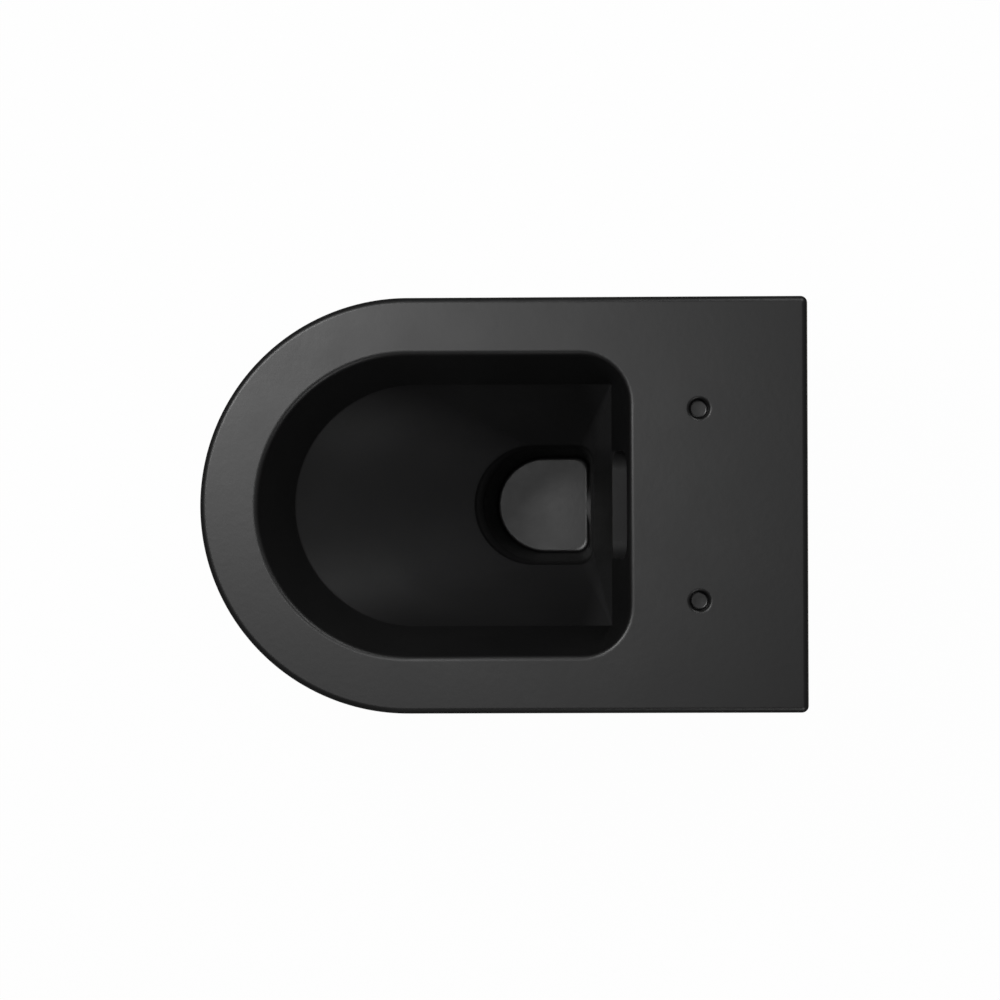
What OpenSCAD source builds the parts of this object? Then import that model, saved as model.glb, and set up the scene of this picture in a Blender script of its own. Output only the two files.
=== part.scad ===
// Rimless toilet pan, wall hung, with a round front and concealed fixings.
// The wall is the plane y = 0, the front points to -Y and the rim lies level.
// The origin is on the wall, midway between the two studs that carry the pan.

/* [Pan] */
// Depth of the pan from the wall to the front of the rim
pan_depth = 525; // [505:5:560]
// Width of the pan across the rim, at the wall
pan_width = 360; // [350:2:380]
// How much narrower the pan is where its round front begins
front_taper = 1; // [0:0.5:4]
// Height of the rim above the wall studs
rim_height = 85; // [85:1:95]
// Depth of the underside below the wall studs
base_drop = 255; // [250:1:275]
// Radius of the two upright corners at the wall
rear_corner_r = 6; // [5.5:0.5:10]
// Rounding of the rim's outer edge
rim_edge_r = 4.5; // [2:0.5:5]

/* [Rim and deck] */
// Width of the rim at the front and the sides
rim_width = 49; // [42:0.5:52]
// Depth of the deck from the wall to the mouth
deck_depth = 154; // [150:1:160]
// Thickness of the rim and the deck
deck_t = 12; // [10:0.5:12]
// Radius of the mouth's two rear corners
mouth_corner_r = 43; // [30:1:55]
// Reach of the rounding at the mouth's edge
mouth_edge_r = 4; // [2:0.5:6]

/* [Seat holes] */
// Distance between the two seat holes
seat_hole_spacing = 166; // [150:1:180]
// Distance of the seat holes from the wall
seat_hole_from_wall = 94; // [85:1:105]
// Diameter of a seat hole
seat_hole_d = 16.6; // [14:0.2:20]
// Depth of a seat hole
seat_hole_depth = 15; // [12:1:18]
// Rounding of a seat hole's edge
seat_hole_edge_r = 3.3; // [1:0.1:4]
// Rounding at the floor of a seat hole
seat_hole_floor_r = 4; // [1:0.5:5]
// Diameter of the boss under a seat hole
seat_boss_d = 38; // [32:1:42]
// Thickness of ceramic under a seat hole
seat_boss_floor_t = 8; // [6:0.5:10]

/* [Bowl] */
// Depth of the crease below the rim
crease_depth = 70; // [70:1:76]
// How far the crease lies inside the mouth at the front
crease_inset_front = 29; // [24:0.5:40]
// How far the crease lies inside the mouth at each side
crease_inset_side = 24; // [20:0.5:34]
// How far the crease lies in front of the mouth at the rear
crease_inset_rear = 13.5; // [11:0.5:20]
// Radius of the crease's two rear corners
crease_corner_r = 1.2; // [0.6:0.2:12]
// Width of the throat
throat_width = 104; // [100:1:120]
// Length of the throat from its front to its rear
throat_length = 100; // [92:1:120]
// Distance of the throat from the wall
throat_from_wall = 181; // [176:1:190]
// Radius of the throat's two rear corners
throat_corner_r = 14; // [8:1:20]
// Thickness of the bowl, measured level
bowl_wall = 12; // [9:0.5:13]

/* [Sump and trap] */
// Gap between the sump's underside and the shroud's floor
sump_clearance = 9; // [6:0.5:12]
// Depth of the sump's floor below the throat
sump_depth = 118; // [106:1:126]
// How far the sump's foot lies inside the throat at each side
sump_inset_side = 6; // [2:0.5:10]
// How far the sump's foot lies behind the throat's front
sump_inset_front = 12; // [4:0.5:18]
// How much smaller the sump's rear corners are than the throat's
sump_corner_step = 2; // [0:0.5:4]
// Rounding at the sump's floor
sump_floor_r = 4; // [2:0.5:10]
// Thickness of the sump's floor
sump_floor_t = 10; // [8:0.5:10]
// Width of the trap's passage
trap_width = 84; // [76:1:88]
// Height of the passage where it leaves the sump
trap_entry_h = 52; // [46:1:54]
// Height of the passage over the weir
trap_weir_h = 66; // [60:1:72]
// Thickness of the trap's wall
trap_wall = 10; // [7:0.5:10]

/* [Connections] */
// Distance between the two wall studs
stud_spacing = 180; // [174:2:190]
// Diameter of the hole for a stud
stud_hole_d = 13; // [12.5:0.5:14]
// Depth of the waste outlet's axis below the studs
outlet_drop = 100; // [98:1:104]
// Outside diameter of the waste outlet
outlet_d = 102; // [98:1:106]
// Bore of the waste outlet
outlet_bore_d = 82; // [78:1:86]
// Length of the waste outlet's round end
outlet_length = 45; // [38:1:50]
// Height of the flush inlet's axis above the studs
inlet_rise = 35; // [34:0.5:35]
// Bore of the flush inlet
inlet_bore_d = 55; // [52:0.5:55.5]
// Depth of the flush inlet's bore
inlet_length = 45; // [35:1:50]
// Thickness of the flush inlet's wall
inlet_wall = 10; // [7:0.5:10]

/* [Flush] */
// Bore of the duct behind the inlet
duct_bore_d = 50; // [44:1:51]
// Thickness of the duct's wall
duct_wall = 9; // [6:0.5:9]
// Width of the flush outlet in the bowl
slot_width = 94; // [84:1:98]
// Height of the flush outlet in the bowl
slot_height = 46; // [38:1:46]
// Radius of the flush outlet's corners
slot_corner_r = 16; // [8:1:17]
// Height of the flush outlet's floor above the crease
slot_floor_rise = 3; // [1:0.5:5]
// Distance of the duct's front end from the wall
slot_from_wall = 128; // [126:1:132]
// Distance from the distributor to where the outlet's ceiling starts to rise
slot_lip = 2; // [1:0.5:2]
// Step at the duct's front end that the gasket lies against
slot_step = 5; // [3:0.5:7]
// Thickness of the distributor's gasket
gasket_t = 3; // [2:0.5:4]
// Length of the distributor
distributor_length = 17; // [14:0.5:17]
// Thickness of the distributor's outer wall
distributor_wall = 3; // [2:0.5:4]
// Gap between the distributor and the ceramic
distributor_gap = 0.3; // [0.2:0.1:0.6]
// Thickness of the web between the duct and the trap
web_t = 12; // [8:1:16]
// How far the web starts behind the duct's front end
web_inset = 20; // [12:1:30]
// Gap between the web and the sockets at the wall
web_gap = 6; // [3:1:10]

/* [Shroud] */
// Thickness of the shroud
shroud_wall = 10; // [8:0.5:12]
// How far the shroud's foot lies behind the front of the rim
shroud_tuck = 225; // [190:5:240]
// How sharply the shroud's front curves under
shroud_curve = 2.2; // [1.6:0.1:3]
// How far each side draws in from the rim to the foot
shroud_draw_in = 35; // [15:1:50]
// Rounding of the shroud's lower edge
foot_edge_r = 8; // [3:1:9]

/* [Fixings] */
// Distance of the side screws from the wall
side_screw_from_wall = 58; // [54:1:64]
// Diameter of the hole for a side bush
side_hole_d = 18; // [17:0.5:20]
// Diameter of the recess for a cover cap
cap_recess_d = 26; // [25:0.5:30]
// Depth of the recess for a cover cap
cap_recess_depth = 10; // [9.5:0.5:11]
// Diameter of the boss behind a side hole
side_boss_d = 42; // [36:1:46]
// Depth of ceramic behind the recess
side_boss_depth = 16; // [14:1:20]
// Diameter of the side screw
side_screw_d = 10; // [8:1:10]
// Diameter of the side screw's head
side_screw_head_d = 16; // [15:0.5:18]
// Height of the side screw's head
side_screw_head_h = 4.5; // [3.5:0.5:5]
// Length of the side screw below its head
side_screw_length = 38; // [34:1:42]
// Thickness of the bush's flange
bush_flange_t = 2; // [1.5:0.5:2.5]
// Thickness of the cover cap
cap_t = 2.5; // [2:0.5:3]
// Gap round the cap, the bush and the screw
fit_gap = 0.2; // [0.1:0.05:0.3]
// Outside diameter of the threaded insert
insert_d = 16; // [14:0.5:18]
// Length of the threaded insert
insert_length = 22; // [18:1:26]
// Gap between the screw and its insert
thread_gap = 0.05; // [0.02:0.01:0.1]
// Thickness of the bracket's wall plate
bracket_plate_t = 8; // [6:0.5:10]
// Height of the bracket's wall plate
bracket_plate_h = 60; // [50:1:70]
// Height of the bracket's arm
bracket_arm_h = 36; // [30:1:44]
// Thickness of the bracket's arm
bracket_arm_t = 30; // [28:1:34]
// Thickness of the walls round the pocket in the bracket's arm
bracket_rib_t = 5; // [4:0.5:6]
// Length of the bracket's arm past the side screw
bracket_arm_end = 20; // [16:1:26]
// Width of the bracket's plate on the inner side of the stud
bracket_plate_edge = 20; // [16:1:24]
// Gap between a stud washer and the bracket's gusset
washer_gap = 2; // [1:0.5:4]
// Outside diameter of a stud washer
washer_d = 24; // [24:0.5:26]
// Thickness of a stud washer
washer_t = 2.5; // [2:0.5:3]
// Width of a stud nut across its flats
nut_flats = 19; // [18:0.5:19]
// Height of a stud nut
nut_h = 10; // [8:0.5:11]
// Bore of a stud nut
nut_bore_d = 12.2; // [12.2:0.1:12.4]

/* [Hidden] */

$fn = 64;
// Steps along the round front, a rear corner and an edge rounding of an outline
FRONT_STEPS = 36;
CORNER_STEPS = 6;
EDGE_STEPS = 4;
// Steps down the shroud, round a passage and along one bend of the trap
SHROUD_STEPS = 12;
PASSAGE_STEPS = 28;
BEND_STEPS = 7;
// Cutting solids reach this far past the face that they cut
past = 1;

GLAZE = [0.10, 0.10, 0.11];
MOULDING = [0.16, 0.16, 0.17];
RUBBER = [0.06, 0.06, 0.06];
STEEL = [0.70, 0.71, 0.73];
BRASS = [0.75, 0.62, 0.30];

// Levels
rim_z = rim_height;
deck_z = rim_z - deck_t;
crease_z = rim_z - crease_depth;
base_z = -base_drop;
sump_z = base_z + shroud_wall + sump_clearance + sump_floor_t;
throat_z = sump_z + sump_depth;

// Mouth, crease, throat and foot of the sump, as half widths and places from the wall
half_w = pan_width / 2;
side_taper = front_taper / 2;
mouth_half_w = half_w - side_taper - rim_width;
mouth_front = rim_width - pan_depth;
crease_half_w = mouth_half_w - crease_inset_side;
crease_front = mouth_front + crease_inset_front;
crease_rear = -deck_depth - crease_inset_rear;
throat_half_w = throat_width / 2;
throat_rear = -throat_from_wall;
throat_front = throat_rear - throat_length;
sump_half_w = throat_half_w - sump_inset_side;
sump_front = throat_front + sump_inset_front;
sump_back_plane = throat_rear + bowl_wall;

// Trap: a bend up from the sump's back and a bend over the weir, then the drop to the outlet.
// The two bends share the rise in the ratio of the passage's outside heights.
trap_entry_z = sump_z + trap_entry_h / 2;
trap_weir_z = -outlet_drop + (outlet_bore_d - trap_weir_h) / 2;
trap_rise = trap_weir_z - trap_entry_z;
entry_bend_r = trap_rise * (trap_entry_h + 2 * trap_wall) / (trap_entry_h + trap_weir_h + 4 * trap_wall);
weir_bend_r = trap_rise - entry_bend_r;

// Flush outlet and duct
slot_z = crease_z + slot_floor_rise + slot_height / 2;
duct_front = -slot_from_wall;
gasket_front = duct_front - gasket_t;
band_top_rear = -deck_depth - crease_inset_rear * deck_t / crease_depth;

// Side fixing: places along X, from the shroud's outside inwards
cap_recess_x = shroud_half_w(0) - cap_recess_depth;
side_boss_x = cap_recess_x - side_boss_depth;
flange_x = cap_recess_x + bush_flange_t;
stud_x = stud_spacing / 2;
bracket_inner_x = stud_x - bracket_plate_edge;
bracket_arm_x = side_boss_x - bracket_arm_t;
bracket_gusset = bracket_arm_x - stud_x - washer_d / 2 - washer_gap;

function mix(a, b, t) = a + (b - a) * t;
function reversed(list) = [for (i = [len(list) - 1:-1:0]) list[i]];
function at_z(outline, z) = [for (p = outline) [p[0], p[1], z]];

// Points on an arc, from one angle to another
function arc(cx, cy, r, from, to, steps) =
    [for (i = [0:steps]) let (a = mix(from, to, i / steps)) [cx + r * cos(a), cy + r * sin(a)]];

// A D seen from above: two rounded corners at the rear and a half circle in front
function d_outline(half_width, front, rear, corner_r, taper = 0) =
    let (front_r = half_width - taper)
    concat(
        arc(half_width - corner_r, rear - corner_r, corner_r, 0, 90, CORNER_STEPS),
        arc(corner_r - half_width, rear - corner_r, corner_r, 90, 180, CORNER_STEPS),
        arc(0, front + front_r, front_r, 180, 360, FRONT_STEPS)
    );

// Faces between loops a and b of n points each
function loop_faces(a, b, n) =
    [for (j = [0:n - 1])
        let (k = (j + 1) % n)
        each [[a * n + j, b * n + j, b * n + k], [a * n + j, b * n + k, a * n + k]]];

// Solid through a list of loops, closed by a flat face at each end
module stacked(loops) {
    n = len(loops[0]);
    last = len(loops) - 1;
    polyhedron(
        points = [for (loop = loops) each loop],
        faces = concat(
            [[for (j = [0:n - 1]) j]],
            [for (i = [0:last - 1]) each loop_faces(i, i + 1, n)],
            [[for (j = [n - 1:-1:0]) last * n + j]]
        )
    );
}

// Solid through a list of loops, the last of which meets the first
module looped(loops) {
    n = len(loops[0]);
    count = len(loops);
    polyhedron(
        points = [for (loop = loops) each loop],
        faces = [for (i = [0:count - 1]) each loop_faces(i, (i + 1) % count, n)]
    );
}

// The bowl's outlines, each grown outwards by g
function mouth_outline(g) =
    d_outline(mouth_half_w + g, mouth_front - g, -deck_depth + g, mouth_corner_r + g);
function crease_outline(g) =
    d_outline(crease_half_w + g, crease_front - g, crease_rear + g, crease_corner_r + g);
function throat_outline(g) =
    d_outline(throat_half_w + g, throat_front - g, throat_rear + g, throat_corner_r);
function sump_outline(g) =
    d_outline(sump_half_w + g, sump_front - g, throat_rear + min(g, 0), throat_corner_r - sump_corner_step);

// The bowl's section at a height: a steep band above the crease and a funnel below it
function bowl_outline(z, g) =
    z > crease_z
        ? mix(crease_outline(g), mouth_outline(g), (z - crease_z) / crease_depth)
        : mix(throat_outline(g), crease_outline(g), (z - throat_z) / (crease_z - throat_z));

// The shroud draws in and its front curves under from the rim to the foot
function shroud_share(z) = (deck_z - z) / (deck_z - base_z);
function shroud_half_w(z) = half_w - shroud_draw_in * pow(max(shroud_share(z), 0), 2);
function shroud_front(z) = -pan_depth + shroud_tuck * pow(max(shroud_share(z), 0), shroud_curve);

// An outline of the outside at a height, set in by g
function outside_outline(z, g) =
    d_outline(shroud_half_w(z) - g, shroud_front(z) + g, -g, max(rear_corner_r - g, 0.5), side_taper);

// The foot's edge keeps its rear flat against the wall
function foot_outline(z, g) =
    d_outline(shroud_half_w(z) - g, shroud_front(z) + g, 0, rear_corner_r, side_taper);

// The hollow of the shroud runs out through the wall side
function hollow_outline(z) =
    d_outline(shroud_half_w(z) - shroud_wall, shroud_front(z) + shroud_wall, past, 0.5, side_taper);

// Copies of a part of the fixing on the right, or its mirror image on the left
module on_side(side) {
    if (side == "left") mirror([1, 0, 0]) children();
    else children();
}

// Turns a shape drawn along Z to point from the side towards the middle
module along_x(x, y) {
    translate([x, y, 0]) rotate([0, 90, 0]) children();
}

// Turns a shape drawn along Z to point away from the wall
module off_wall(x, y, z) {
    translate([x, y, z]) rotate([90, 0, 0]) children();
}

module tube(outer_d, inner_d, length) {
    difference() {
        cylinder(d = outer_d, h = length);
        translate([0, 0, -past]) cylinder(d = inner_d, h = length + 2 * past);
    }
}

// Outline of a seat hole turned about its axis: round floor corner, wall and round edge
function seat_hole_profile(r) =
    concat(
        [[0, -seat_hole_depth]],
        arc(r - seat_hole_floor_r, seat_hole_floor_r - seat_hole_depth, seat_hole_floor_r, -90, 0, EDGE_STEPS),
        arc(r + seat_hole_edge_r, -seat_hole_edge_r, seat_hole_edge_r, 180, 90, EDGE_STEPS),
        [[r + seat_hole_edge_r, past], [0, past]]
    );

// The mouth's edge turns from the rim down into the band, tangent to both
function mouth_edge() =
    let (
        low_z = rim_z - mouth_edge_r,
        low = at_z(bowl_outline(low_z, 0), low_z),
        corner = at_z(bowl_outline(rim_z, 0), rim_z),
        flat = at_z(bowl_outline(rim_z, mouth_edge_r), rim_z)
    )
    [for (i = [0:EDGE_STEPS])
        let (t = i / EDGE_STEPS)
        mix(mix(flat, corner, t), mix(corner, low, t), t)];

module at_seat_holes() {
    for (side = [-1, 1]) translate([side * seat_hole_spacing / 2, -seat_hole_from_wall, 0]) children();
}

module rim_plate() {
    boss_top = deck_z + deck_t / 2;
    boss_bottom = rim_z - seat_hole_depth - seat_boss_floor_t;
    outer = [for (i = [0:EDGE_STEPS])
        let (a = 90 * i / EDGE_STEPS)
        at_z(outside_outline(deck_z, rim_edge_r * (1 - cos(a))), rim_z - rim_edge_r * (1 - sin(a)))];
    color(GLAZE) difference() {
        union() {
            looped(concat(
                [at_z(outside_outline(deck_z, 0), deck_z)],
                outer,
                mouth_edge(),
                [at_z(bowl_outline(deck_z, 0), deck_z)]
            ));
            at_seat_holes() translate([0, 0, boss_bottom])
                cylinder(d = seat_boss_d, h = boss_top - boss_bottom);
        }
        at_seat_holes() translate([0, 0, rim_z])
            rotate_extrude() polygon(seat_hole_profile(seat_hole_d / 2));
    }
}

// A flat shape with rounded corners, centred
module rounded_rect(w, h, r) {
    union() {
        square([w, h - 2 * r], center = true);
        square([w - 2 * r, h], center = true);
        for (x = [-1, 1], y = [-1, 1])
            translate([x * (w / 2 - r), y * (h / 2 - r)]) circle(r);
    }
}

// A rounded oblong as a loop of points, starting at the right
function oblong_loop(w, h, r) =
    [for (i = [0:PASSAGE_STEPS - 1]) let (
        a = 360 * i / PASSAGE_STEPS + 180 / PASSAGE_STEPS,
        cx = (w / 2 - r) * (cos(a) > 0 ? 1 : -1),
        cz = (h / 2 - r) * (sin(a) > 0 ? 1 : -1)
    ) [cx + r * cos(a), cz + r * sin(a)]];

// The flush outlet's section at y, with its ceiling raised
function outlet_loop(y, raise) =
    [for (p = oblong_loop(slot_width, slot_height + raise, slot_corner_r))
        [p[0], y, slot_z + raise / 2 + p[1]]];

module bowl() {
    collar_length = duct_front - crease_rear + bowl_wall / 2;
    to_deck = deck_z + past - slot_z - slot_height / 2;
    color(GLAZE) difference() {
        union() {
            stacked([for (z = [throat_z, crease_z, deck_z])
                at_z(bowl_outline(z, bowl_wall), z)]);
            off_wall(0, duct_front, slot_z) linear_extrude(collar_length)
                rounded_rect(slot_width + 2 * duct_wall, slot_height + 2 * duct_wall, slot_corner_r + duct_wall);
        }
        stacked([for (z = [throat_z - past, throat_z, crease_z, deck_z, deck_z + past])
            at_z(bowl_outline(z, 0), z)]);
        stacked([
            outlet_loop(duct_front + past, 0),
            outlet_loop(gasket_front - distributor_length - slot_lip, 0),
            outlet_loop(band_top_rear, to_deck),
            outlet_loop(crease_rear - past, to_deck)
        ]);
    }
}

module shroud() {
    foot_z = base_z + foot_edge_r;
    hollow_z = base_z + shroud_wall;
    walls = [for (i = [0:SHROUD_STEPS])
        let (z = mix(deck_z, foot_z, i / SHROUD_STEPS))
        at_z(outside_outline(z, 0), z)];
    foot_edge = [for (i = [1:EDGE_STEPS])
        let (a = 90 * i / EDGE_STEPS, z = foot_z - foot_edge_r * sin(a))
        at_z(foot_outline(z, foot_edge_r * (1 - cos(a))), z)];
    hollow = [for (i = [0:SHROUD_STEPS])
        let (z = mix(deck_z, hollow_z, i / SHROUD_STEPS))
        at_z(hollow_outline(z), z)];
    color(GLAZE) difference() {
        union() {
            difference() {
                stacked(reversed(concat(walls, foot_edge)));
                stacked(reversed(concat([at_z(hollow_outline(deck_z), deck_z + past)], hollow)));
            }
            for (side = ["left", "right"]) on_side(side)
                along_x(side_boss_x, -side_screw_from_wall)
                    cylinder(d = side_boss_d, h = side_boss_depth + shroud_wall / 2);
        }
        for (side = ["left", "right"]) on_side(side) {
            along_x(side_boss_x - past, -side_screw_from_wall)
                cylinder(d = side_hole_d, h = side_boss_depth + 2 * past);
            along_x(cap_recess_x, -side_screw_from_wall)
                cylinder(d = cap_recess_d, h = cap_recess_depth + past);
        }
    }
}

module sump() {
    floor_edge = [for (i = [0:EDGE_STEPS])
        let (a = 90 * i / EDGE_STEPS)
        at_z(sump_outline(-sump_floor_r * (1 - cos(a))), sump_z + sump_floor_r * (1 - sin(a)))];
    outside_foot = d_outline(sump_half_w + bowl_wall, sump_front - bowl_wall, sump_back_plane, throat_corner_r);
    color(GLAZE) difference() {
        stacked(concat(
            [at_z(outside_foot, sump_z - sump_floor_t)],
            [at_z(throat_outline(bowl_wall), throat_z)],
            [at_z(throat_outline(0), throat_z)],
            floor_edge
        ));
        stacked([for (y = [sump_back_plane + past, throat_rear - 2 * sump_floor_r])
            passage_loop(y, trap_entry_z, 0, trap_width / 2, trap_entry_h / 2)]);
    }
}

// An oval loop across the trap, centred at y and z and turned by the path's rise
function passage_loop(y, z, rise, half_width, half_height) =
    [for (i = [0:PASSAGE_STEPS - 1])
        let (a = 360 * i / PASSAGE_STEPS, u = half_width * cos(a), v = half_height * sin(a))
        [u, y - v * sin(rise), z + v * cos(rise)]];

// The trap's loops, each grown outwards by g
function trap_loops(g) =
    let (
        w0 = trap_width / 2 + g,
        w1 = outlet_bore_d / 2 + g,
        h0 = trap_entry_h / 2 + g,
        h1 = trap_weir_h / 2 + g,
        turn_z = trap_entry_z + entry_bend_r,
        weir_y = sump_back_plane + entry_bend_r + weir_bend_r,
        steps = 2 * BEND_STEPS
    )
    concat(
        [for (i = [0:steps]) let (
            t = i / steps,
            rise = 90 * (1 - abs(1 - 2 * t)),
            first = t <= 0.5,
            y = first ? sump_back_plane + entry_bend_r * sin(rise) : weir_y - weir_bend_r * sin(rise),
            z = first ? turn_z - entry_bend_r * cos(rise) : turn_z + weir_bend_r * cos(rise)
        ) passage_loop(y, z, rise, mix(w0, w1, t), mix(h0, h1, t))],
        [passage_loop(-outlet_length, -outlet_drop, 0, w1, w1)]
    );

module trapway() {
    color(GLAZE) looped(concat(trap_loops(0), reversed(trap_loops(trap_wall))));
}

module outlet_spigot() {
    color(GLAZE) off_wall(0, 0, -outlet_drop) tube(outlet_d, outlet_bore_d, outlet_length);
}

module inlet_socket() {
    color(GLAZE) off_wall(0, 0, inlet_rise)
        tube(inlet_bore_d + 2 * inlet_wall, inlet_bore_d, inlet_length);
}

// The duct's loops from the slot to the inlet: the front is grown by g, and the rear has diameter d
function duct_loops(g, d) =
    let (
        front = oblong_loop(slot_width + 2 * g, slot_height + 2 * g, slot_corner_r + g),
        back = oblong_loop(d, d, d / 2)
    )
    [for (i = [0:BEND_STEPS]) let (
        t = i / BEND_STEPS,
        ease = (1 - cos(180 * t)) / 2,
        y = mix(duct_front, -inlet_length, t),
        z = mix(slot_z, inlet_rise, ease)
    ) [for (p = mix(front, back, ease)) [p[0], y, z + p[1]]]];

function duct_inside() = duct_loops(-slot_step, duct_bore_d);
function duct_outside() = duct_loops(duct_wall, duct_bore_d + 2 * duct_wall);

module flush_duct() {
    color(GLAZE) looped(concat(duct_inside(), reversed(duct_outside())));
}

module rear_web() {
    web_front = duct_front + web_inset;
    web_rear = -max(outlet_length, inlet_length) - web_gap;
    color(GLAZE) difference() {
        translate([-web_t / 2, web_front, -outlet_drop])
            cube([web_t, web_rear - web_front, outlet_drop + inlet_rise]);
        stacked(reversed(duct_outside()));
        stacked(reversed(trap_loops(trap_wall)));
    }
}

module distributor() {
    w = slot_width - 2 * distributor_gap;
    h = slot_height - 2 * distributor_gap;
    window_w = w / 2 - 2.5 * distributor_wall;
    window_h = h - 2 * distributor_wall;
    wedge_rear = distributor_wall;
    wedge_front = w / 6;
    color(MOULDING) union() {
        difference() {
            off_wall(0, gasket_front, slot_z) linear_extrude(distributor_length)
                rounded_rect(w, h, slot_corner_r - distributor_gap);
            for (side = ["left", "right"]) on_side(side)
                off_wall(0, gasket_front + past, slot_z) linear_extrude(distributor_length + 2 * past)
                    translate([w / 2 - distributor_wall - window_w / 2, 0])
                        rounded_rect(window_w, window_h, slot_corner_r / 2);
        }
        // The wedge between the two windows turns the flush to the sides
        translate([0, gasket_front, slot_z - window_h / 2 - past]) linear_extrude(window_h + 2 * past)
            polygon([
                [-wedge_rear, 0],
                [-wedge_front, -distributor_length],
                [wedge_front, -distributor_length],
                [wedge_rear, 0]
            ]);
    }
}

module distributor_gasket() {
    w = slot_width - 2 * distributor_gap;
    h = slot_height - 2 * distributor_gap;
    step = 2 * slot_step;
    color(RUBBER) off_wall(0, duct_front, slot_z) linear_extrude(gasket_t) difference() {
        rounded_rect(w, h, slot_corner_r - distributor_gap);
        rounded_rect(slot_width - step, slot_height - step, slot_corner_r / 2);
    }
}

module wall_bracket(side) {
    arm_length = side_screw_from_wall + bracket_arm_end;
    arm_chamfer = bracket_arm_end / 2;
    pocket_front = bracket_rib_t + insert_d / 2 - side_screw_from_wall;
    pocket_rear = -bracket_plate_t - bracket_rib_t;
    color(MOULDING) on_side(side) difference() {
        union() {
            translate([bracket_inner_x, -bracket_plate_t, -bracket_plate_h / 2])
                cube([side_boss_x - bracket_inner_x, bracket_plate_t, bracket_plate_h]);
            translate([0, 0, -bracket_arm_h / 2]) linear_extrude(bracket_arm_h)
                polygon([
                    [bracket_arm_x - bracket_gusset, -bracket_plate_t / 2],
                    [bracket_arm_x, -bracket_plate_t - bracket_gusset],
                    [bracket_arm_x, arm_chamfer - arm_length],
                    [bracket_arm_x + arm_chamfer, -arm_length],
                    [side_boss_x, -arm_length],
                    [side_boss_x, -bracket_plate_t / 2]
                ]);
        }
        off_wall(stud_x, past, 0) cylinder(d = stud_hole_d, h = bracket_plate_t + 2 * past);
        along_x(side_boss_x - insert_length, -side_screw_from_wall)
            cylinder(d = insert_d, h = insert_length + past);
        translate([bracket_arm_x + bracket_rib_t, pocket_front, -bracket_arm_h])
            cube([side_boss_x - bracket_arm_x - 2 * bracket_rib_t, pocket_rear - pocket_front, 2 * bracket_arm_h]);
    }
}

module stud_washer(side) {
    color(STEEL) on_side(side) off_wall(stud_x, -bracket_plate_t, 0) tube(washer_d, stud_hole_d, washer_t);
}

module stud_nut(side) {
    color(STEEL) on_side(side) off_wall(stud_x, -bracket_plate_t - washer_t, 0) difference() {
        cylinder(d = nut_flats / cos(30), h = nut_h, $fn = 6);
        translate([0, 0, -past]) cylinder(d = nut_bore_d, h = nut_h + 2 * past);
    }
}

module bracket_insert(side) {
    color(BRASS) on_side(side) along_x(side_boss_x - insert_length, -side_screw_from_wall)
        tube(insert_d - 2 * thread_gap, side_screw_d + 2 * thread_gap, insert_length);
}

module side_bush(side) {
    color(MOULDING) on_side(side) difference() {
        union() {
            along_x(side_boss_x, -side_screw_from_wall)
                cylinder(d = side_hole_d - 2 * fit_gap, h = side_boss_depth);
            along_x(cap_recess_x, -side_screw_from_wall)
                cylinder(d = cap_recess_d - 2 * fit_gap, h = bush_flange_t);
        }
        along_x(side_boss_x - past, -side_screw_from_wall)
            cylinder(d = side_screw_d + 2 * fit_gap, h = side_boss_depth + bush_flange_t + 2 * past);
    }
}

module side_screw(side) {
    socket_d = side_screw_head_d / 2;
    socket_depth = side_screw_head_h / 2;
    color(STEEL) on_side(side) difference() {
        union() {
            along_x(flange_x - side_screw_length, -side_screw_from_wall)
                cylinder(d = side_screw_d, h = side_screw_length);
            along_x(flange_x, -side_screw_from_wall)
                cylinder(d = side_screw_head_d, h = side_screw_head_h);
        }
        along_x(flange_x + side_screw_head_h - socket_depth, -side_screw_from_wall)
            cylinder(d = socket_d, h = socket_depth + past, $fn = 6);
    }
}

module cover_cap(side) {
    color(GLAZE) on_side(side) along_x(flange_x + side_screw_head_h, -side_screw_from_wall)
        cylinder(d = cap_recess_d - 2 * fit_gap, h = cap_t);
}

rim_plate();
bowl();
shroud();
sump();
trapway();
outlet_spigot();
flush_duct();
inlet_socket();
rear_web();
distributor();
distributor_gasket();
wall_bracket("left");  // wall_bracket_left
wall_bracket("right");  // wall_bracket_right
stud_washer("left");  // stud_washer_left
stud_washer("right");  // stud_washer_right
stud_nut("left");  // stud_nut_left
stud_nut("right");  // stud_nut_right
bracket_insert("left");  // bracket_insert_left
bracket_insert("right");  // bracket_insert_right
side_bush("left");  // side_bush_left
side_bush("right");  // side_bush_right
side_screw("left");  // side_screw_left
side_screw("right");  // side_screw_right
cover_cap("left");  // cover_cap_left
cover_cap("right");  // cover_cap_right
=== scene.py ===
"""Looks of the rimless toilet pan: glazed body, fixings, flush parts, light and camera."""
import math

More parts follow.
